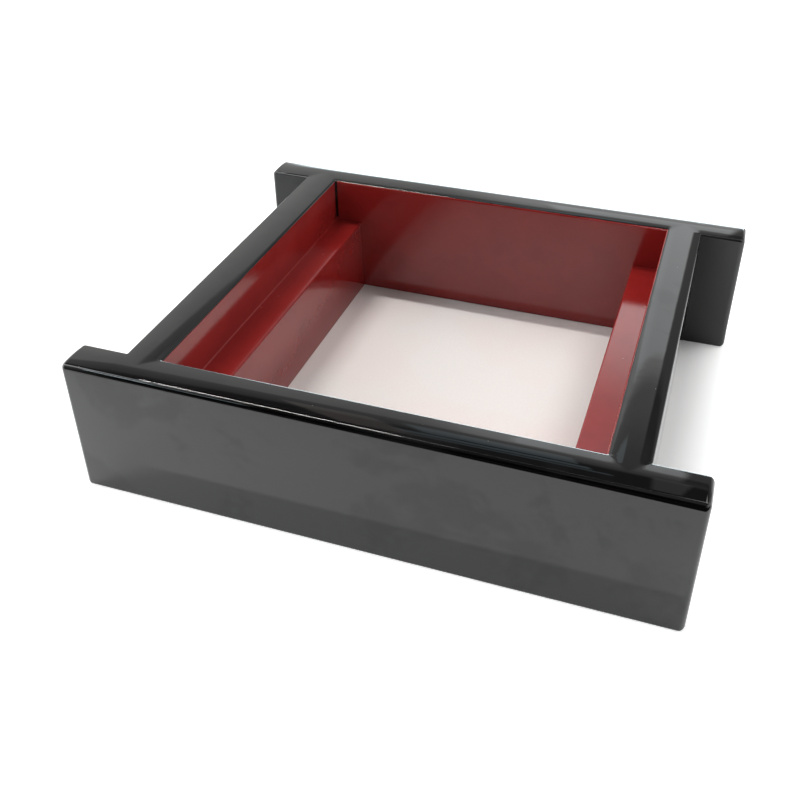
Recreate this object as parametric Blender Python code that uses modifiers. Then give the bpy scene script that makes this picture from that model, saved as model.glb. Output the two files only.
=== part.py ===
"""Open lacquered box frame in the well-curb shape: two long boards that run past two cross boards.

The cross boards stand in housings in the long boards and are held by dowels. A ledge strip, pinned to
each cross board, carries a slatted mat or an inner tray. The frame has no bottom.

Metres, +Z up. X runs along the long boards, Y from the front to the rear. The origin is at the centre of
the frame, on the surface that it stands on.
"""

import math

import bmesh
import bpy

# Driving dimensions
LENGTH = 0.240
DEPTH = 0.200
HEIGHT = 0.060
LONG_THICKNESS = 0.0152
CROSS_THICKNESS = 0.0156
OVERHANG = 0.020
LEDGE_HEIGHT = 0.0377
LEDGE_WIDTH = 0.0137
LEDGE_FOOT_WIDTH = 0.0146

EDGE_RADIUS = 0.002
LEDGE_RADIUS = 0.001
HOUSING_DEPTH = 0.004
GAP = 0.0003

DOWEL_RADIUS = 0.003
DOWEL_IN_LONG_BOARD = 0.007
DOWEL_IN_CROSS_BOARD = 0.017
DOWEL_HEIGHTS = {"lower": 0.018, "upper": 0.042}

PIN_RADIUS = 0.002
PIN_IN_CROSS_BOARD = 0.008
PIN_IN_LEDGE = 0.008
PIN_HEIGHT = 0.019
PIN_PLACES = {"front": -0.055, "middle": 0.0, "rear": 0.055}

EDGE_SEGMENTS = 4
LEDGE_SEGMENTS = 5
ROUND_SIDES = 24
DOWEL_CHAMFER = 0.0005
SHARP_ANGLE = math.radians(40)
SMOOTH_ANGLE = math.radians(30)

# Places that follow from them
CROSS_OUTER_X = LENGTH / 2 - OVERHANG
CROSS_INNER_X = CROSS_OUTER_X - CROSS_THICKNESS
CROSS_CENTRE_X = (CROSS_OUTER_X + CROSS_INNER_X) / 2
LONG_INNER_Y = DEPTH / 2 - LONG_THICKNESS
LONG_CENTRE_Y = DEPTH / 2 - LONG_THICKNESS / 2
HOUSING_FLOOR_Y = LONG_INNER_Y + HOUSING_DEPTH

SIDES = {"left": -1, "right": 1}
ENDS = {"front": -1, "rear": 1}
OBJECT_NAME = "well_curb_box_frame"


def clear_scene():
    for old in list(bpy.data.objects):
        bpy.data.objects.remove(old, do_unlink=True)


def new_collection(name):
    collection = bpy.data.collections.new(name)
    bpy.context.scene.collection.children.link(collection)
    return collection


def material(name, colour, roughness, coat=0.0):
    made = bpy.data.materials.new(name)
    made.use_nodes = True
    shader = made.node_tree.nodes["Principled BSDF"]
    shader.inputs["Base Color"].default_value = (*colour, 1.0)
    shader.inputs["Roughness"].default_value = roughness
    shader.inputs["Metallic"].default_value = 0.0
    shader.inputs["Coat Weight"].default_value = coat
    made.diffuse_color = (*colour, 1.0)
    return made


def mesh_object(name, mesh, collection, surface=None):
    made = bpy.data.objects.new(name, mesh)
    collection.objects.link(made)
    if surface:
        mesh.materials.append(surface)
    return made


def box(name, size, centre, collection, surface=None):
    """A block with its own origin at its centre, its size held in the mesh."""
    shape = bmesh.new()
    bmesh.ops.create_cube(shape, size=1.0)
    bmesh.ops.scale(shape, vec=size, verts=shape.verts)
    mesh = bpy.data.meshes.new(name)
    shape.to_mesh(mesh)
    shape.free()
    made = mesh_object(name, mesh, collection, surface)
    made.location = centre
    return made


def bevel(thing, width, segments):
    step = thing.modifiers.new("Rounded edges", "BEVEL")
    step.width = width
    step.segments = segments
    step.limit_method = "ANGLE"
    step.angle_limit = SHARP_ANGLE


def boolean(thing, operation, other):
    step = thing.modifiers.new(f"{operation.title()} {other.name}", "BOOLEAN")
    step.operation = operation
    step.solver = "EXACT"
    step.object = other


def as_cutter(thing):
    thing.hide_render = True
    thing.display_type = "WIRE"
    return thing


def rod(name, radius, length, centre, along, collection, surface=None):
    """A round rod along X or Y."""
    shape = bmesh.new()
    bmesh.ops.create_cone(
        shape, cap_ends=True, segments=ROUND_SIDES, radius1=radius, radius2=radius, depth=length
    )
    mesh = bpy.data.meshes.new(name)
    shape.to_mesh(mesh)
    shape.free()
    made = mesh_object(name, mesh, collection, surface)
    made.location = centre
    if along == "X":
        made.rotation_euler = (0, math.pi / 2, 0)
    else:
        made.rotation_euler = (math.pi / 2, 0, 0)
    return made


def dowel_places():
    """The corner dowels: name, end, side and centre for each."""
    for end, toward_end in ENDS.items():
        for side, toward_side in SIDES.items():
            for level, height in DOWEL_HEIGHTS.items():
                middle = HOUSING_FLOOR_Y + (DOWEL_IN_LONG_BOARD - DOWEL_IN_CROSS_BOARD) / 2
                centre = (toward_side * CROSS_CENTRE_X, toward_end * middle, height)
                yield f"dowel_{end}_{side}_{level}", end, side, centre


def pin_places():
    """The ledge pins: name, side and centre for each."""
    for side, toward_side in SIDES.items():
        for place, y in PIN_PLACES.items():
            middle = CROSS_INNER_X + (PIN_IN_CROSS_BOARD - PIN_IN_LEDGE) / 2
            yield f"ledge_pin_{side}_{place}", side, (toward_side * middle, y, PIN_HEIGHT)


def rounded_board(name, size, centre, collection, surface=None):
    board = box(name, size, centre, collection, surface)
    bevel(board, EDGE_RADIUS, EDGE_SEGMENTS)
    return board


def long_board_blank(name, end, collection, surface=None):
    size = (LENGTH, LONG_THICKNESS, HEIGHT)
    return rounded_board(name, size, (0, ENDS[end] * LONG_CENTRE_Y, HEIGHT / 2), collection, surface)


def make_hole_cutters(cutters):
    """A blind hole round each dowel and pin, grouped by the pieces that it enters."""
    holes = {"front": [], "rear": [], "left": [], "right": [], "left_ledge": [], "right_ledge": []}
    dowel_length = DOWEL_IN_LONG_BOARD + DOWEL_IN_CROSS_BOARD
    for name, end, side, centre in dowel_places():
        hole = rod(f"hole_{name}", DOWEL_RADIUS + GAP, dowel_length + 2 * GAP, centre, "Y", cutters)
        holes[end].append(as_cutter(hole))
        holes[side].append(hole)
    pin_length = PIN_IN_CROSS_BOARD + PIN_IN_LEDGE
    for name, side, centre in pin_places():
        hole = rod(f"hole_{name}", PIN_RADIUS + GAP, pin_length + 2 * GAP, centre, "X", cutters)
        holes[side].append(as_cutter(hole))
        holes[f"{side}_ledge"].append(hole)
    return holes


def make_housing(end, side, cutters):
    """The full-height groove in a long board that takes a cross board's tongue."""
    clear = 2 * EDGE_RADIUS
    size = (CROSS_THICKNESS, HOUSING_DEPTH + clear, HEIGHT + 2 * clear)
    middle_y = LONG_INNER_Y + (HOUSING_DEPTH - clear) / 2
    centre = (SIDES[side] * CROSS_CENTRE_X, ENDS[end] * middle_y, HEIGHT / 2)
    return as_cutter(box(f"housing_{end}_{side}", size, centre, cutters))


def make_long_board(end, holes, parts, cutters, surface):
    board = long_board_blank(f"{end}_board", end, parts, surface)
    for side in SIDES:
        boolean(board, "DIFFERENCE", make_housing(end, side, cutters))
    for hole in holes[end]:
        boolean(board, "DIFFERENCE", hole)


def make_cross_envelope(side, cutters):
    """The room of a cross board: its body between the long boards, and a tongue at each end."""
    clear = 2 * EDGE_RADIUS
    centre = (SIDES[side] * CROSS_CENTRE_X, 0, HEIGHT / 2)
    body_size = (CROSS_THICKNESS + clear, 2 * (LONG_INNER_Y - GAP), HEIGHT + clear)
    tongue_size = (CROSS_THICKNESS - 2 * GAP, 2 * (HOUSING_FLOOR_Y - GAP), HEIGHT + 2 * clear)
    envelope = as_cutter(box(f"envelope_{side}", body_size, centre, cutters))
    tongue = as_cutter(box(f"tongue_{side}", tongue_size, centre, cutters))
    boolean(envelope, "UNION", tongue)
    return envelope


def make_cross_board(side, long_blanks, holes, parts, cutters, surface):
    """A cross board. Its rounded edges meet those of the long boards in mitres, cut in its tongues."""
    size = (CROSS_THICKNESS, 2 * LONG_CENTRE_Y, HEIGHT)
    centre = (SIDES[side] * CROSS_CENTRE_X, 0, HEIGHT / 2)
    board = rounded_board(f"{side}_board", size, centre, parts, surface)
    for blank in long_blanks:
        boolean(board, "UNION", blank)
    boolean(board, "INTERSECT", make_cross_envelope(side, cutters))
    for hole in holes[side]:
        boolean(board, "DIFFERENCE", hole)


def ledge_outline():
    """The ledge's section, from the cross board's face inward and from the table up."""
    lean = math.atan2(LEDGE_FOOT_WIDTH - LEDGE_WIDTH, LEDGE_HEIGHT)
    points = [(GAP, 0.0), (LEDGE_FOOT_WIDTH, 0.0)]
    centre_x = LEDGE_WIDTH - LEDGE_RADIUS
    centre_z = LEDGE_HEIGHT - LEDGE_RADIUS
    for step in range(LEDGE_SEGMENTS + 1):
        angle = lean + (math.pi / 2 - lean) * step / LEDGE_SEGMENTS
        points.append((centre_x + LEDGE_RADIUS * math.cos(angle), centre_z + LEDGE_RADIUS * math.sin(angle)))
    points.append((GAP, LEDGE_HEIGHT))
    return points


def make_ledge(side, holes, parts, surface):
    """A strip with a slightly tapered face, extruded between the long boards."""
    outline = bpy.data.curves.new(f"{side}_ledge_outline", "CURVE")
    outline.dimensions = "2D"
    outline.fill_mode = "BOTH"
    outline.extrude = LONG_INNER_Y - GAP
    points = ledge_outline()
    spline = outline.splines.new("POLY")
    spline.points.add(len(points) - 1)
    for point, (inward, height) in zip(spline.points, points):
        point.co = (-SIDES[side] * inward, height, 0, 1)
    spline.use_cyclic_u = True
    guide = mesh_object(f"{side}_ledge_guide", outline, parts)
    mesh = bpy.data.meshes.new_from_object(guide.evaluated_get(bpy.context.evaluated_depsgraph_get()))
    bpy.data.objects.remove(guide)

    shape = bmesh.new()
    shape.from_mesh(mesh)
    bmesh.ops.remove_doubles(shape, verts=shape.verts, dist=GAP / 10)
    bmesh.ops.recalc_face_normals(shape, faces=shape.faces)
    shape.to_mesh(mesh)
    shape.free()
    mesh.name = f"{side}_ledge"
    ledge = mesh_object(f"{side}_ledge", mesh, parts, surface)
    ledge.location = (SIDES[side] * CROSS_INNER_X, 0, 0)
    ledge.rotation_euler = (math.pi / 2, 0, 0)
    for hole in holes[f"{side}_ledge"]:
        boolean(ledge, "DIFFERENCE", hole)


def make_dowels(parts, surface):
    length = DOWEL_IN_LONG_BOARD + DOWEL_IN_CROSS_BOARD
    for name, *_joined_boards, centre in dowel_places():
        dowel = rod(name, DOWEL_RADIUS, length, centre, "Y", parts, surface)
        bevel(dowel, DOWEL_CHAMFER, 1)


def make_pins(parts, surface):
    length = PIN_IN_CROSS_BOARD + PIN_IN_LEDGE
    for name, _joined_board, centre in pin_places():
        pin = rod(name, PIN_RADIUS, length, centre, "X", parts, surface)
        bevel(pin, DOWEL_CHAMFER, 1)


def shade(parts):
    for thing in parts.objects:
        thing.data.shade_smooth()
        thing.data.set_sharp_from_angle(angle=SMOOTH_ANGLE)


def main():
    clear_scene()
    parts = new_collection(OBJECT_NAME)
    cutters = new_collection("cutters")
    black = material("black_lacquer", (0.012, 0.012, 0.013), 0.12, coat=1.0)
    red = material("red_lacquer", (0.30, 0.018, 0.014), 0.25, coat=0.6)
    beech = material("beech", (0.62, 0.44, 0.27), 0.6)

    holes = make_hole_cutters(cutters)
    long_blanks = [as_cutter(long_board_blank(f"blank_{end}", end, cutters)) for end in ENDS]
    for end in ENDS:
        make_long_board(end, holes, parts, cutters, black)
    for side in SIDES:
        make_cross_board(side, long_blanks, holes, parts, cutters, black)
        make_ledge(side, holes, parts, red)
    make_dowels(parts, beech)
    make_pins(parts, beech)
    shade(parts)


main()
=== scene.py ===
"""The looks of the lacquered well-curb box frame: crowned, rounded boards that run into each other where
they cross, red ledges, and polished lacquer in two colours.

Metres, +Z up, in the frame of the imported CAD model.
"""

import math

import bmesh
import bpy
from mathutils import Euler, Matrix, Vector


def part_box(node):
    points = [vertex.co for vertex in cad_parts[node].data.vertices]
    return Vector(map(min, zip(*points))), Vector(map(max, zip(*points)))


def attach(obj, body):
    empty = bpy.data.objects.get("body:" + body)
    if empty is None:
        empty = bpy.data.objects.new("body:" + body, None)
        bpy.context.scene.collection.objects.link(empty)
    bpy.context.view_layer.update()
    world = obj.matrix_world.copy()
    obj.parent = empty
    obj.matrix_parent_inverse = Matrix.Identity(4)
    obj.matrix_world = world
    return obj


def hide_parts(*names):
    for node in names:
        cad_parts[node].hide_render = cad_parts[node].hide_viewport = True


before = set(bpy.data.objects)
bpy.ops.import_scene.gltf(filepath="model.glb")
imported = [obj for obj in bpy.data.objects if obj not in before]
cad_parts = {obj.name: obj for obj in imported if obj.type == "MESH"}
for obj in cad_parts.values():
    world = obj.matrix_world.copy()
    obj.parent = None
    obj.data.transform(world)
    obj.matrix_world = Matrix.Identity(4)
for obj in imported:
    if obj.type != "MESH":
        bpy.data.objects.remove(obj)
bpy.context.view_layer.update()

MM = 0.001

# Places and sizes that the CAD model holds
FRONT_LOW, FRONT_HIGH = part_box("front_board")
REAR_LOW, REAR_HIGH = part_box("rear_board")
RIGHT_LOW, RIGHT_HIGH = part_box("right_board")
LEDGE_LOW, LEDGE_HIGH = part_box("right_ledge")

HALF_LENGTH = FRONT_HIGH.x
HEIGHT = FRONT_HIGH.z
LONG_HALF = (FRONT_HIGH.y - FRONT_LOW.y) / 2
LONG_CENTRE_Y = REAR_HIGH.y - LONG_HALF
LONG_INNER_Y = REAR_LOW.y
DEPTH_REACH = REAR_HIGH.y
CROSS_HALF = (RIGHT_HIGH.x - RIGHT_LOW.x) / 2
CROSS_CENTRE_X = (RIGHT_HIGH.x + RIGHT_LOW.x) / 2
CROSS_INNER_X = RIGHT_LOW.x
LEDGE_TOP = LEDGE_HIGH.z
LEDGE_FOOT_X = LEDGE_LOW.x

# Fine shape of the lacquered surface
CROWN_SLOPE = math.radians(8)
OUTER_RADIUS = 1.65 * MM
OUTER_DROP = 2.8 * MM
INNER_RADIUS = 1.1 * MM
END_RADIUS = 2.2 * MM
FOOT_RADIUS = 1.0 * MM
SOLVE_STEPS = 4
CROWN_STEPS = 14
ARC_STEPS = 10
END_STEPS = 10
LEDGE_LEAN = 0.9 * MM
LEDGE_RADIUS = 0.9 * MM
LEDGE_FOOT_RADIUS = 0.4 * MM
LEDGE_FILLET = 0.5 * MM
SEAM = 0.01 * MM
BLEND_POWER = 2.5
PAINT_LINE = HEIGHT - 0.62 * MM
LEFT_PAINT_LINE = HEIGHT - 1.15 * MM
RIGHT_PAINT_RISE = 0.05 * MM
PAINT_REACH = 0.9 * MM
PAINT_WAVER = 0.3 * MM
PAINT_SOFTNESS = 0.04 * MM
LEFT_LINE_FADE = 0.3 * MM
RIGHT_LINE_FADE = 0.4 * MM
# width, depth and heights of the painted shade in the upper rear left inner corner
CORNER_SHADE_WIDTH = 1.0 * MM
CORNER_SHADE_DEPTH = 0.25 * MM
CORNER_SHADE_FROM = LEDGE_TOP + 0.6 * MM
CORNER_SHADE_FULL = LEDGE_TOP + 2.2 * MM
SMOOTH_ANGLE = math.radians(32)
WELD = 0.0005 * MM
FOOT_STEPS = 5
CREST_STEPS = 9
FILLET_STEPS = 6
END_EDGE_LOSS = 0.7


# ---------------------------------------------------------------- shapes


def board_section(half, top, bottom, radius, drop, foot):
    """Half of a board's section: places across it with the height of its upper and lower side there.

    The upper side is crowned and runs into an elliptic edge, radius across and drop down; the lower side is
    flat with a smaller round edge.
    """
    crown = math.tan(CROWN_SLOPE) / (2 * LONG_HALF)
    start = CROWN_SLOPE
    for _ in range(SOLVE_STEPS):
        crown_end = half - radius + radius * math.sin(start)
        start = math.atan(2 * crown * crown_end * radius / drop)
    arc_centre = top - crown * crown_end**2 - drop * math.cos(start)
    nodes = []
    for step in range(CROWN_STEPS):
        across = crown_end * step / CROWN_STEPS
        nodes.append((across, top - crown * across**2))
    for step in range(ARC_STEPS + 1):
        angle = start + (math.pi / 2 - start) * step / ARC_STEPS
        nodes.append((half - radius + radius * math.sin(angle), arc_centre + drop * math.cos(angle)))
    section = []
    for across, upper in nodes:
        past = max(0.0, across - (half - foot))
        rise = foot - math.sqrt(max(0.0, foot**2 - past**2))
        section.append((across, upper, bottom + rise))
    return section


def upper_at(section, across):
    """The height of a section's upper side at a place across it."""
    for (near, high, _), (far, low, _) in zip(section, section[1:]):
        if across <= far:
            return high + (low - high) * (across - near) / (far - near)
    return section[-1][1]


def run_together(height, crossing, lowest):
    """The height where two crowned surfaces meet without a crease; the effect ends at the lowest height."""
    depths = HEIGHT - height, HEIGHT - crossing
    if min(depths) <= 0.0:
        return HEIGHT
    joined = sum(depth**-BLEND_POWER for depth in depths) ** (-1 / BLEND_POWER)
    share = max(0.0, 1 - max(depths) / (HEIGHT - lowest))
    return HEIGHT - min(depths) + (min(depths) - joined) * share


def section_loop(outer_section, inner_section, outer_limit, inner_limit, inward):
    """A closed loop of (across, height) round a board; nodes past a limit are drawn in to it, for a mitre."""
    last = len(outer_section) - 1
    outer = [outer_section[min(k, outer_limit)] for k in range(last + 1)]
    inner = [inner_section[min(k, inner_limit)] for k in range(last + 1)]
    loop = [(-inward * across, upper) for across, upper, _ in reversed(outer)]
    loop += [(inward * across, upper) for across, upper, _ in inner[1:]]
    loop += [(inward * across, lower) for across, _, lower in reversed(inner)]
    loop += [(-inward * across, lower) for across, _, lower in outer[1:]]
    return loop


def skin_loops(name, loops, place):
    """A closed mesh over a row of loops; place turns (station, across, height) into a point."""
    shape = bmesh.new()
    rings = []
    for station, loop in loops:
        rings.append([shape.verts.new(place(station, across, height)) for across, height in loop])
    count = len(rings[0])
    for ring, following in zip(rings, rings[1:]):
        for k in range(count):
            after = (k + 1) % count
            shape.faces.new((ring[k], ring[after], following[after], following[k]))
    shape.faces.new(rings[0])
    shape.faces.new(list(reversed(rings[-1])))
    bmesh.ops.remove_doubles(shape, verts=shape.verts, dist=WELD)
    bmesh.ops.dissolve_degenerate(shape, edges=shape.edges, dist=WELD)
    bmesh.ops.recalc_face_normals(shape, faces=shape.faces)
    return finished_mesh(name, shape)


def finished_mesh(name, shape):
    """An object in the scene with the given shape, smooth but for its sharp edges."""
    mesh = bpy.data.meshes.new(name)
    shape.to_mesh(mesh)
    shape.free()
    mesh.shade_smooth()
    mesh.set_sharp_from_angle(angle=SMOOTH_ANGLE)
    piece = bpy.data.objects.new(name, mesh)
    bpy.context.scene.collection.objects.link(piece)
    return piece


def long_board_loops(inward):
    """Loops along a long board, from its left end to its right end."""
    outer = board_section(LONG_HALF, HEIGHT, 0.0, OUTER_RADIUS, OUTER_DROP, FOOT_RADIUS)
    inner = board_section(LONG_HALF, HEIGHT, 0.0, INNER_RADIUS, INNER_RADIUS, FOOT_RADIUS)
    last = len(inner) - 1
    half = []
    for step in range(END_STEPS + 1):
        angle = math.pi / 2 * (1 - step / END_STEPS)
        inset = END_RADIUS * (1 - math.cos(angle))
        share = 1 - END_EDGE_LOSS * inset / END_RADIUS
        sides = [
            board_section(
                LONG_HALF - inset, HEIGHT - inset, inset, radius * share, drop * share, FOOT_RADIUS * share
            )
            for radius, drop in ((OUTER_RADIUS, OUTER_DROP), (INNER_RADIUS, INNER_RADIUS))
        ]
        station = HALF_LENGTH - END_RADIUS + END_RADIUS * math.sin(angle)
        half.append((station, section_loop(sides[0], sides[1], last, last, inward)))
    stretch = CROSS_HALF / LONG_HALF
    for k in range(last, -1, -1):
        station = CROSS_CENTRE_X + inner[k][0] * stretch
        half.append((station, section_loop(outer, inner, last, k, inward)))
    for k in range(1, last + 1):
        station = CROSS_CENTRE_X - inner[k][0] * stretch
        half.append((station, section_loop(outer, inner, last, k, inward)))
    left = [(-station, loop) for station, loop in half]
    return left + list(reversed(half))


def make_long_board(name, toward_end):
    """A long board over the whole length; toward_end is -1 for the front one and 1 for the rear one."""
    crossing = board_section(LONG_HALF, HEIGHT, 0.0, INNER_RADIUS, INNER_RADIUS, FOOT_RADIUS)

    def to_frame(x, y, z):
        aside = abs(abs(x) - CROSS_CENTRE_X) * LONG_HALF / CROSS_HALF
        if y * toward_end < 0 and z > HEIGHT / 2 and aside < LONG_HALF:
            z = run_together(z, upper_at(crossing, aside), crossing[-1][1])
        return (x, toward_end * LONG_CENTRE_Y + y, z)

    return skin_loops(name, long_board_loops(-toward_end), to_frame)


def make_cross_board(name, side):
    """A cross board, with both ends pointed where they mitre into the long boards' crowns."""
    section = board_section(LONG_HALF, HEIGHT, 0.0, INNER_RADIUS, INNER_RADIUS, FOOT_RADIUS)
    half = []
    for k in range(len(section)):
        station = LONG_CENTRE_Y - section[k][0]
        half.append((station, section_loop(section, section, k, k, 1)))
    loops = [(-station, loop) for station, loop in half] + list(reversed(half))

    def to_frame(y, x, z):
        aside = abs(LONG_CENTRE_Y - abs(y))
        if z > HEIGHT / 2 and aside < LONG_HALF:
            z = run_together(z, upper_at(section, aside), section[-1][1])
        return (side * CROSS_CENTRE_X + x * CROSS_HALF / LONG_HALF, y, z)

    return skin_loops(name, loops, to_frame)


def arc(centre, radius, start, stop, steps):
    """Points on an arc between two angles in degrees."""
    points = []
    for step in range(steps + 1):
        angle = math.radians(start + (stop - start) * step / steps)
        points.append((centre[0] + radius * math.cos(angle), centre[1] + radius * math.sin(angle)))
    return points


def ledge_section():
    """The ledge's section as (distance from the cross board's face, height)."""
    foot = CROSS_INNER_X - LEDGE_FOOT_X
    lean = math.degrees(math.atan2(LEDGE_LEAN, LEDGE_TOP))
    crest = foot - LEDGE_LEAN
    points = [(-SEAM, 0.0)]
    points += arc((foot - LEDGE_FOOT_RADIUS, LEDGE_FOOT_RADIUS), LEDGE_FOOT_RADIUS, -90, lean, FOOT_STEPS)
    points += arc((crest - LEDGE_RADIUS, LEDGE_TOP - LEDGE_RADIUS), LEDGE_RADIUS, lean, 90, CREST_STEPS)
    points += arc((LEDGE_FILLET, LEDGE_TOP + LEDGE_FILLET), LEDGE_FILLET, -90, -180, FILLET_STEPS)
    points.append((-SEAM, LEDGE_TOP + LEDGE_FILLET))
    return points


def make_ledge(name, side):
    """A ledge between the long boards; side is -1 for the left one and 1 for the right one."""
    reach = LONG_INNER_Y + SEAM
    section = ledge_section()
    loops = [(-reach, section), (reach, section)]
    return skin_loops(name, loops, lambda y, inward, z: (side * (CROSS_INNER_X - inward), y, z))


# ------------------------------------------------------------- materials


class Nodes:
    """Short names for the nodes of one material or world; inputs are sockets to link or values to set."""

    def __init__(self, tree):
        self.tree = tree
        self.tree.nodes.clear()

    def add(self, kind, inputs=None, **settings):
        node = self.tree.nodes.new(kind)
        for key, value in settings.items():
            setattr(node, key, value)
        for key, value in (inputs or {}).items():
            if isinstance(value, bpy.types.NodeSocket):
                self.tree.links.new(value, node.inputs[key])
            else:
                node.inputs[key].default_value = value
        return node

    def math(self, operation, first, second=0.0, third=None):
        inputs = {0: first, 1: second}
        if third is not None:
            inputs[2] = third
        return self.add("ShaderNodeMath", inputs, operation=operation).outputs[0]

    def fade(self, value, low, high, to_low=0.0, to_high=1.0):
        inputs = {"Value": value, "From Min": low, "From Max": high, "To Min": to_low, "To Max": to_high}
        return self.add("ShaderNodeMapRange", inputs, interpolation_type="SMOOTHSTEP").outputs[0]

    def mix(self, factor, first, second):
        node = self.add("ShaderNodeMix", data_type="RGBA")
        for key, value in ((0, factor), (6, first), (7, second)):
            if isinstance(value, bpy.types.NodeSocket):
                self.tree.links.new(value, node.inputs[key])
            else:
                node.inputs[key].default_value = value
        return node.outputs[2]

    def noise(self, where, scale, detail=2.0, roughness=0.5, distortion=0.0):
        inputs = {
            "Vector": where,
            "Scale": scale,
            "Detail": detail,
            "Roughness": roughness,
            "Distortion": distortion,
        }
        return self.add("ShaderNodeTexNoise", inputs).outputs["Fac"]

    def stretched(self, where, scale, turn=(0, 0, 0)):
        turned = self.add("ShaderNodeMapping", {"Vector": where, "Rotation": turn}).outputs[0]
        return self.add("ShaderNodeMapping", {"Vector": turned, "Scale": scale}).outputs[0]

    def bump(self, height, distance, normal=None):
        inputs = {"Height": height, "Distance": distance, "Strength": 1.0}
        if normal is not None:
            inputs["Normal"] = normal
        return self.add("ShaderNodeBump", inputs).outputs[0]


BLACK = (0.0012, 0.0012, 0.0014, 1.0)
BLACK_HAZE = (0.006, 0.006, 0.0064, 1.0)
RED = (0.192, 0.0120, 0.0108, 1.0)
RED_DEEP = (0.168, 0.0100, 0.0092, 1.0)
DUST = (0.32, 0.32, 0.31, 1.0)
RED_MATT = 0.12
RED_IOR = 1.6
RED_CLOUD = 0.12
BLACK_MATT = 0.012
BLACK_IOR = 1.5
CLOUD_MATT = 0.04
HAIRLINE_MATT = 0.14
DUST_MATT = 0.7

# Depth of the waves and of the fine orange peel in each lacquer
TWO_TONE_RELIEF = (0.02 * MM, 0.0035 * MM)
RED_RELIEF = (0.006 * MM, 0.001 * MM)
SPECK_RELIEF = 0.01 * MM


def smudges(n, where):
    """Soft cloudy patches left by handling, 0 to 1."""
    broad = n.noise(where, 22, detail=3, roughness=0.55, distortion=0.6)
    fine = n.noise(where, 95, detail=4, roughness=0.6, distortion=0.3)
    return n.fade(n.math("MULTIPLY_ADD", fine, 0.3, n.math("MULTIPLY", broad, 0.8)), 0.52, 0.68)


def scratches(n, where, turn, stretch):
    """Hairline scratches along one direction, 0 to 1."""
    along = n.stretched(where, stretch, turn)
    line = n.noise(along, 1.0, detail=1, roughness=0.4)
    gate = n.noise(where, 60, detail=1)
    thin = n.fade(n.math("ABSOLUTE", n.math("SUBTRACT", line, 0.5)), 0.0, 0.012, 1.0, 0.0)
    return n.math("MULTIPLY", thin, n.fade(gate, 0.64, 0.80))


def specks(n, where, scale, radius, share):
    """Sparse dust specks, 0 to 1: only a share of the cells holds one."""
    cells = n.add("ShaderNodeTexVoronoi", {"Vector": where, "Scale": scale, "Randomness": 1.0})
    chance = n.add("ShaderNodeSeparateColor", {"Color": cells.outputs["Color"]})
    chosen = n.math("LESS_THAN", chance.outputs[0], share)
    size = n.math("MULTIPLY_ADD", chance.outputs[1], radius, radius * 0.4)
    near = n.math("DIVIDE", cells.outputs["Distance"], size)
    return n.math("MULTIPLY", chosen, n.fade(near, 0.55, 1.0, 1.0, 0.0))


def facing_up(n):
    """1 on surfaces that face up, where hairlines and dust gather, and 0 on upright ones."""
    normal = n.add("ShaderNodeNewGeometry").outputs["Normal"]
    upward = n.add("ShaderNodeSeparateXYZ", {"Vector": normal}).outputs["Z"]
    return n.fade(upward, 0.5, 0.9)


def red_zone(n, where):
    """1 on the inner faces below the paint line, which wavers slightly and runs lower on the left, and 0
    elsewhere; a thin strip on the rear board in the upper rear left inner corner stays black as painted
    shade."""
    place = n.add("ShaderNodeSeparateXYZ", {"Vector": where})
    reach_x = n.math("ABSOLUTE", place.outputs["X"])
    reach_y = n.math("ABSOLUTE", place.outputs["Y"])
    inside_x = n.math("LESS_THAN", reach_x, CROSS_INNER_X + PAINT_REACH)
    inside_y = n.math("LESS_THAN", reach_y, LONG_INNER_Y + PAINT_REACH)
    from_left = n.math("ADD", place.outputs["X"], CROSS_INNER_X)
    line = n.fade(from_left, 0.0, LEFT_LINE_FADE, LEFT_PAINT_LINE, PAINT_LINE)
    from_right = n.math("SUBTRACT", place.outputs["X"], CROSS_INNER_X)
    on_right = n.fade(from_right, -RIGHT_LINE_FADE, 0.0, 0.0, RIGHT_PAINT_RISE)
    line = n.math("ADD", line, on_right)
    lowest = n.math("SUBTRACT", line, PAINT_WAVER / 2)
    waver = n.math("MULTIPLY_ADD", n.noise(where, 130, detail=3), PAINT_WAVER, lowest)
    below = n.fade(n.math("SUBTRACT", place.outputs["Z"], waver), -PAINT_SOFTNESS, PAINT_SOFTNESS, 1.0, 0.0)
    # painted shade: a thin black strip on the rear board in the rear left inner corner, above the ledge
    above_ledge = n.fade(place.outputs["Z"], CORNER_SHADE_FROM, CORNER_SHADE_FULL)
    at_rear = n.math("GREATER_THAN", place.outputs["Y"], LONG_INNER_Y - CORNER_SHADE_DEPTH)
    at_corner = n.fade(from_left, CORNER_SHADE_WIDTH, 1.6 * CORNER_SHADE_WIDTH, 1.0, 0.0)
    corner_shade = n.math("MULTIPLY", n.math("MULTIPLY", above_ledge, at_rear), at_corner)
    covered = n.math("MULTIPLY", below, n.math("SUBTRACT", 1.0, corner_shade))
    return n.math("MULTIPLY", n.math("MULTIPLY", inside_x, inside_y), covered)


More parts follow.
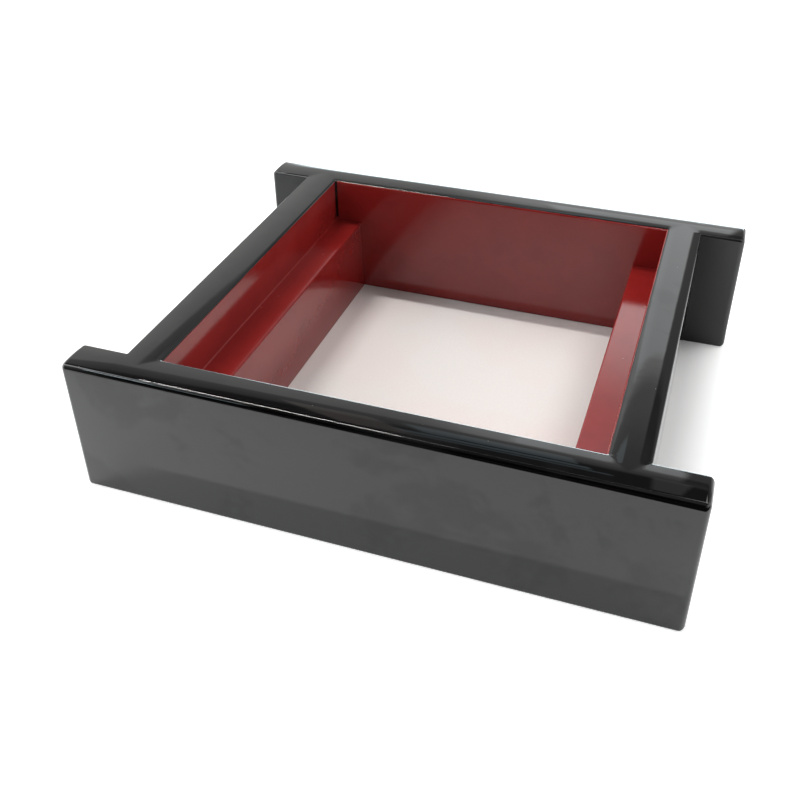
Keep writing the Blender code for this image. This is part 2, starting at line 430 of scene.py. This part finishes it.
def lacquer(name, two_tone):
    """Polished lacquer, all red or black with red inner faces."""
    material = bpy.data.materials.new(name)
    material.use_nodes = True
    n = Nodes(material.node_tree)
    where = n.add("ShaderNodeTexCoord").outputs["Object"]
    cloud = smudges(n, where)
    hairlines = n.math(
        "MAXIMUM",
        scratches(n, where, (0.35, 0.0, 0.3), (9, 260, 14)),
        scratches(n, where, (0.2, 0.3, 0.0), (12, 16, 300)),
    )
    hairlines = n.math("MULTIPLY", hairlines, facing_up(n))
    dust = n.math("MAXIMUM", specks(n, where, 150, 0.045, 0.10), specks(n, where, 420, 0.075, 0.05))
    dust = n.math("MULTIPLY", dust, facing_up(n))

    tone = n.noise(where, 55, detail=3, roughness=0.6)
    red = n.mix(n.fade(tone, 0.35, 0.7), RED, RED_DEEP)
    if two_tone:
        zone = red_zone(n, where)
        cloud = n.math("MULTIPLY", cloud, n.fade(zone, 0.0, 1.0, 1.0, RED_CLOUD))
        black = n.mix(n.math("MULTIPLY", cloud, 0.55), BLACK, BLACK_HAZE)
        base = n.mix(zone, black, red)
        matt = n.fade(zone, 0.0, 1.0, BLACK_MATT, RED_MATT)
        density = n.fade(zone, 0.0, 1.0, BLACK_IOR, RED_IOR)
    else:
        cloud = n.math("MULTIPLY", cloud, RED_CLOUD)
        base = red
        matt = RED_MATT
        density = RED_IOR
    base = n.mix(n.math("MULTIPLY", dust, 0.75), base, DUST)
    polish = n.math("MULTIPLY_ADD", cloud, CLOUD_MATT, matt)
    roughness = n.math("MAXIMUM", polish, n.math("MULTIPLY", hairlines, HAIRLINE_MATT))
    roughness = n.math("MAXIMUM", roughness, n.math("MULTIPLY", dust, DUST_MATT))

    peel = n.noise(where, 300, detail=2, roughness=0.45)
    wave = n.noise(where, 70, detail=1)
    wave_depth, peel_depth = TWO_TONE_RELIEF if two_tone else RED_RELIEF
    normal = n.bump(wave, wave_depth)
    normal = n.bump(peel, peel_depth, normal=normal)
    normal = n.bump(n.math("MULTIPLY_ADD", hairlines, -0.3, dust), SPECK_RELIEF, normal=normal)
    shader = n.add(
        "ShaderNodeBsdfPrincipled",
        {
            "Base Color": base,
            "Roughness": roughness,
            "Normal": normal,
            "IOR": density,
            "Specular IOR Level": n.fade(cloud, 0.0, 1.0, 0.5, 0.42),
        },
    )
    output = n.add("ShaderNodeOutputMaterial")
    n.tree.links.new(shader.outputs[0], output.inputs["Surface"])
    return material


def beech():
    """Bare turned hardwood for the hidden dowels and pins."""
    material = bpy.data.materials.new("beech")
    material.use_nodes = True
    n = Nodes(material.node_tree)
    where = n.add("ShaderNodeTexCoord").outputs["Object"]
    grain = n.noise(n.stretched(where, (700, 60, 700)), 1.0, detail=4, roughness=0.6)
    flecks = n.noise(n.stretched(where, (1500, 260, 1500)), 1.0, detail=2)
    colour = n.mix(n.fade(grain, 0.3, 0.75), (0.66, 0.46, 0.28, 1.0), (0.50, 0.31, 0.17, 1.0))
    colour = n.mix(n.fade(flecks, 0.6, 0.75, 0.0, 0.4), colour, (0.36, 0.2, 0.1, 1.0))
    shader = n.add(
        "ShaderNodeBsdfPrincipled",
        {
            "Base Color": colour,
            "Roughness": n.fade(grain, 0.3, 0.8, 0.45, 0.7),
            "Normal": n.bump(grain, 0.03 * MM),
        },
    )
    output = n.add("ShaderNodeOutputMaterial")
    n.tree.links.new(shader.outputs[0], output.inputs["Surface"])
    return material


# painted light: how strongly the sheet glows outside the frame, though it is no lamp
SHEET_PAINTED_LIGHT = 0.5
# reach of the painted shade in front of the rear board's foot and beside the right ledge's foot
REAR_SHADE_REACH = 14 * MM
RIGHT_SHADE_REACH = 26 * MM


def table_top():
    """The pale sheet that the frame stands on: pale outside the frame, where it glows in front and on the
    right as painted light, and darker inside it as painted shade, most along the rear board and right ledge."""
    material = bpy.data.materials.new("table_top")
    material.use_nodes = True
    n = Nodes(material.node_tree)
    where = n.add("ShaderNodeTexCoord").outputs["Object"]
    mottle = n.noise(where, 40, detail=4, roughness=0.6)
    outside_pale = n.mix(mottle, (0.93, 0.93, 0.935, 1.0), (0.90, 0.905, 0.91, 1.0))
    warmth = n.fade(n.noise(where, 14, detail=3, roughness=0.55), 0.42, 0.56)
    # painted shade: the sheet is darker inside the frame, with mottled warmth and fibres
    inside_shade = n.mix(warmth, (0.70, 0.685, 0.665, 1.0), (0.71, 0.665, 0.645, 1.0))
    fibres = n.noise(where, 900, detail=3, roughness=0.7)
    inside_shade = n.mix(n.fade(fibres, 0.35, 0.75, 0.0, 0.35), inside_shade, (0.62, 0.60, 0.575, 1.0))
    spot = n.add("ShaderNodeSeparateXYZ", {"Vector": where})
    # painted shade: the sheet turns grey towards the rear board's foot and the right ledge's foot
    rear_shade = n.fade(spot.outputs["Y"], LONG_INNER_Y - REAR_SHADE_REACH, LONG_INNER_Y, 0.0, 0.3)
    right_shade = n.fade(spot.outputs["X"], LEDGE_FOOT_X - RIGHT_SHADE_REACH, LEDGE_FOOT_X, 0.0, 0.4)
    inside_shade = n.mix(n.math("MAXIMUM", rear_shade, right_shade), inside_shade, (0.35, 0.34, 0.33, 1.0))
    within_x = n.math("LESS_THAN", n.math("ABSOLUTE", spot.outputs["X"]), CROSS_CENTRE_X)
    within_y = n.math("LESS_THAN", n.math("ABSOLUTE", spot.outputs["Y"]), LONG_CENTRE_Y)
    colour = n.mix(n.math("MULTIPLY", within_x, within_y), outside_pale, inside_shade)
    # painted light: the sheet glows in front of the frame and to its right
    painted_light_front = n.fade(spot.outputs["Y"], -DEPTH_REACH, -DEPTH_REACH + 2 * MM, SHEET_PAINTED_LIGHT, 0.0)
    painted_light_right = n.fade(spot.outputs["X"], RIGHT_HIGH.x, HALF_LENGTH + 8 * MM, 0.0, SHEET_PAINTED_LIGHT)
    shader = n.add(
        "ShaderNodeBsdfPrincipled",
        {
            "Base Color": colour,
            "Roughness": n.fade(mottle, 0.2, 0.8, 0.5, 0.65),
            "Specular IOR Level": 0.25,
            "Normal": n.bump(fibres, 0.01 * MM),
            "Emission Color": (1.0, 1.0, 1.0, 1.0),
            "Emission Strength": n.math("MAXIMUM", painted_light_front, painted_light_right),
        },
    )
    output = n.add("ShaderNodeOutputMaterial")
    n.tree.links.new(shader.outputs[0], output.inputs["Surface"])
    return material


def painted_shade_table():
    """Dark wood under the pale sheet, painted shade: beyond the sheet its dark top shows in the front edge's
    reflection.
    """
    material = bpy.data.materials.new("painted_shade_table")
    material.use_nodes = True
    n = Nodes(material.node_tree)
    where = n.add("ShaderNodeTexCoord").outputs["Object"]
    grain = n.noise(n.stretched(where, (3, 40, 40)), 1.0, detail=5, roughness=0.6)
    colour = n.mix(grain, (0.012, 0.009, 0.008, 1.0), (0.022, 0.015, 0.012, 1.0))
    surface = {"Base Color": colour, "Roughness": 0.6, "Specular IOR Level": 0.2}
    shader = n.add("ShaderNodeBsdfPrincipled", surface)
    output = n.add("ShaderNodeOutputMaterial")
    n.tree.links.new(shader.outputs[0], output.inputs["Surface"])
    return material


# -------------------------------------------------------- light and camera

SHEET_TURN = math.radians(18.6)
SHEET_FRONT = 0.204
SHEET_SIZE = 3.0
TABLE_SIZE = 12.0
TABLE_DROP = 2 * MM
FLOOR_CELLS = 8

# Brightness of the room by elevation in degrees: pale walls low down, a dim ceiling above
ROOM = [(-90, 0.02), (-4, 0.02), (1, 1.0), (33.8, 1.0), (35.8, 0.5), (40, 0.38), (43, 0.1), (56, 0.12),
        (90, 0.12)]

# The room's brightness low down by azimuth in degrees from the rear, to the right: (azimuth, share)
ROUND = [(-180, 0.0), (-150, 0.0), (-128, 1.0), (-115, 5.0), (-75, 5.0), (-55, 1.3), (-40, 1.05),
         (-18, 0.95), (-11, 1.35), (2.6, 1.45), (4.0, 0.4), (40, 0.4), (55, 2.0), (125, 2.0),
         (145, 0.4), (180, 0.0)]

# The elevations over which the shares by azimuth fade out
LOW_DOWN = (36, 43)

# Soft boxes: azimuth and elevation of the middle, half sizes and edge softness in degrees, colour, brightness
SOFT_BOXES = {
    "hot_spot": (-3.6, 29.2, 6.3, 4.0, 0.9, (0.86, 0.95, 1.0), 0.74),
    "hot_glow": (-11.0, 29.2, 1.0, 3.0, 5.0, (0.86, 0.95, 1.0), 0.25),
    "blue_panel": (-13.0, 40.8, 6.0, 2.4, 0.7, (0.72, 0.92, 1.0), 0.6),
    "blue_blind_1": (-14.0, 45.4, 8.0, 0.7, 0.4, (0.72, 0.92, 1.0), 0.6),
    "blue_blind_2": (-13.0, 47.6, 8.5, 0.35, 0.4, (0.72, 0.92, 1.0), 0.5),
    "warm_panel": (-25.5, 43.5, 3.0, 4.4, 1.2, (1.0, 0.86, 0.80), 0.42),
    "right_panel": (2.0, 47.0, 2.2, 5.5, 1.2, (0.95, 0.96, 1.0), 0.34),
    "rear_window": (-5.0, 8.0, 15.0, 4.5, 7.0, (0.80, 0.95, 1.0), 17.0),
    "low_right": (28.5, 7.0, 11.0, 7.0, 4.0, (1.0, 1.0, 1.0), 0.7),
    "front_window": (-140.0, 32.0, 3.5, 1.0, 0.9, (0.80, 0.95, 1.0), 26.0),
    "front_window_side": (-149.0, 27.0, 3.0, 0.7, 1.0, (0.80, 0.95, 1.0), 9.0),
    "upper_right": (50.0, 62.0, 33.0, 13.0, 6.0, (1.0, 0.99, 0.97), 3.2),
    "upper_left": (-112.0, 46.0, 14.0, 9.0, 5.0, (0.97, 0.99, 1.0), 5.2),
    "front_wall": (165.0, 60.0, 15.0, 30.0, 6.0, (1.0, 1.0, 1.0), 0.22),
    "front_wall_left": (-180.0, 60.0, 5.0, 30.0, 6.0, (1.0, 1.0, 1.0), 0.22),
}


def stepped(n, value, stops):
    """A brightness that passes smoothly through (place, brightness) stops."""
    total = stops[0][1]
    for (low, before), (high, after) in zip(stops, stops[1:]):
        if after != before:
            total = n.math("ADD", n.fade(value, low, high, 0.0, after - before), total)
    return total


def make_world():
    """A room with walls, a ceiling and soft boxes, painted by azimuth and elevation."""
    world = bpy.data.worlds.new("room")
    bpy.context.scene.world = world
    world.use_nodes = True
    n = Nodes(world.node_tree)
    direction = n.add("ShaderNodeTexCoord").outputs["Generated"]
    parts = n.add("ShaderNodeSeparateXYZ", {"Vector": direction})
    radians = math.pi / 180
    elevation = n.math("DIVIDE", n.math("ARCSINE", parts.outputs["Z"]), radians)
    azimuth = n.math("DIVIDE", n.math("ARCTAN2", parts.outputs["X"], parts.outputs["Y"]), radians)

    by_height = stepped(n, elevation, ROOM)
    around = stepped(n, azimuth, ROUND)
    low_down = n.fade(elevation, *LOW_DOWN, 1.0, 0.0)
    around = n.math("MULTIPLY_ADD", n.math("SUBTRACT", around, 1.0), low_down, 1.0)
    total = n.math("MULTIPLY", by_height, around)
    colour = n.mix(total, (0.0, 0.0, 0.0, 1.0), (1.0, 0.99, 0.98, 1.0))
    colour.node.clamp_factor = False
    for azimuth_at, elevation_at, half_wide, half_high, soft, tint, brightness in SOFT_BOXES.values():
        aside = n.math("ABSOLUTE", n.math("SUBTRACT", azimuth, azimuth_at))
        above = n.math("ABSOLUTE", n.math("SUBTRACT", elevation, elevation_at))
        across = n.fade(aside, half_wide, half_wide + soft, 1.0, 0.0)
        upright = n.fade(above, half_high, half_high + soft, 1.0, 0.0)
        glow = n.math("MULTIPLY", across, upright)
        tone = tuple(channel * brightness for channel in tint) + (1.0,)
        add = n.add("ShaderNodeMix", data_type="RGBA", blend_type="ADD")
        n.tree.links.new(glow, add.inputs[0])
        n.tree.links.new(colour, add.inputs[6])
        add.inputs[7].default_value = tone
        colour = add.outputs[2]
    background = n.add("ShaderNodeBackground", {"Color": colour, "Strength": 1.0})
    output = n.add("ShaderNodeOutputWorld")
    n.tree.links.new(background.outputs[0], output.inputs["Surface"])


def area_light(name, location, width, depth, power, colour):
    """A light panel facing straight down, its width along X."""
    data = bpy.data.lights.new(name, "AREA")
    data.shape = "RECTANGLE"
    data.size = width
    data.size_y = depth
    data.energy = power
    data.color = colour
    lamp = bpy.data.objects.new(name, data)
    bpy.context.scene.collection.objects.link(lamp)
    lamp.location = location
    lamp.visible_camera = False


# One row of tubes on the ceiling along X: middle along X, length, power and colour of each
TUBE_Y = 0.285
TUBE_HEIGHT = 1.50
TUBE_DEPTH = 0.05
TUBES = {
    "ceiling_tube": (-0.672, 0.565, 15.5, (1.0, 0.985, 0.965)),
    "tube_end": (-0.330, 0.12, 0.30, (1.0, 0.93, 0.94)),
    "ceiling_batten": (0.225, 0.99, 0.75, (1.0, 0.93, 0.96)),
}


def make_lights():
    for name, (middle, length, power, colour) in TUBES.items():
        area_light(name, (middle, TUBE_Y, TUBE_HEIGHT), length, TUBE_DEPTH, power, colour)


CAMERA_LENS_MM = 44.177
CAMERA_SENSOR_MM = 36.0
CAMERA_SHIFT = (-0.0210, -0.0777)
CAMERA_PLACE = (0.10427, -0.34302, 0.27384)
CAMERA_TURN_DEGREES = (56.210, -0.042, 18.622)
CAMERA_CLIP = (0.01, 100.0)


def make_camera():
    data = bpy.data.cameras.new("camera")
    data.lens = CAMERA_LENS_MM
    data.sensor_width = CAMERA_SENSOR_MM
    data.shift_x, data.shift_y = CAMERA_SHIFT
    data.clip_start, data.clip_end = CAMERA_CLIP
    camera = bpy.data.objects.new("camera", data)
    bpy.context.scene.collection.objects.link(camera)
    camera.location = CAMERA_PLACE
    camera.rotation_euler = Euler([math.radians(turn) for turn in CAMERA_TURN_DEGREES], "XYZ")
    bpy.context.scene.camera = camera


def make_floor():
    """A pale sheet under the frame, a little askew, on a dark table whose top shows beyond its front edge."""
    sheet_centre = Vector((0.0, SHEET_SIZE / 2 - SHEET_FRONT, 0.0))
    for name, centre, size, surface in (
        ("sheet", sheet_centre, SHEET_SIZE, table_top()),
        # the dark table is painted shade, seen beyond the sheet in the front edge's reflection
        ("table", Vector((0.0, 0.0, -TABLE_DROP)), TABLE_SIZE, painted_shade_table()),
    ):
        shape = bmesh.new()
        bmesh.ops.create_grid(shape, x_segments=FLOOR_CELLS, y_segments=FLOOR_CELLS, size=size / 2)
        bmesh.ops.translate(shape, vec=centre, verts=shape.verts)
        turn = Matrix.Rotation(SHEET_TURN, 3, "Z")
        bmesh.ops.rotate(shape, cent=(0, 0, 0), matrix=turn, verts=shape.verts)
        floor = finished_mesh(name, shape)
        floor.data.materials.append(surface)


# ------------------------------------------------------------- the object


def dress(piece, node, surface):
    """Gives a piece its material, and puts it on the root body in place of its CAD node."""
    piece.data.materials.append(surface)
    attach(piece, "root")
    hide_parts(node)


def make_object():
    two_tone = lacquer("black_and_red_lacquer", True)
    red = lacquer("red_lacquer", False)
    for end, toward_end in (("front", -1), ("rear", 1)):
        board = make_long_board(f"{end}_board_lacquered", toward_end)
        dress(board, f"{end}_board", two_tone)
    for side, toward_side in (("left", -1), ("right", 1)):
        board = make_cross_board(f"{side}_board_lacquered", toward_side)
        dress(board, f"{side}_board", two_tone)
        ledge = make_ledge(f"{side}_ledge_lacquered", toward_side)
        dress(ledge, f"{side}_ledge", red)
    wood = beech()
    for name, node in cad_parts.items():
        if name.startswith(("dowel_", "ledge_pin_")):
            node.data.materials.clear()
            node.data.materials.append(wood)


bpy.context.scene.view_settings.view_transform = "Standard"
make_object()
make_floor()
make_world()
make_lights()
make_camera()
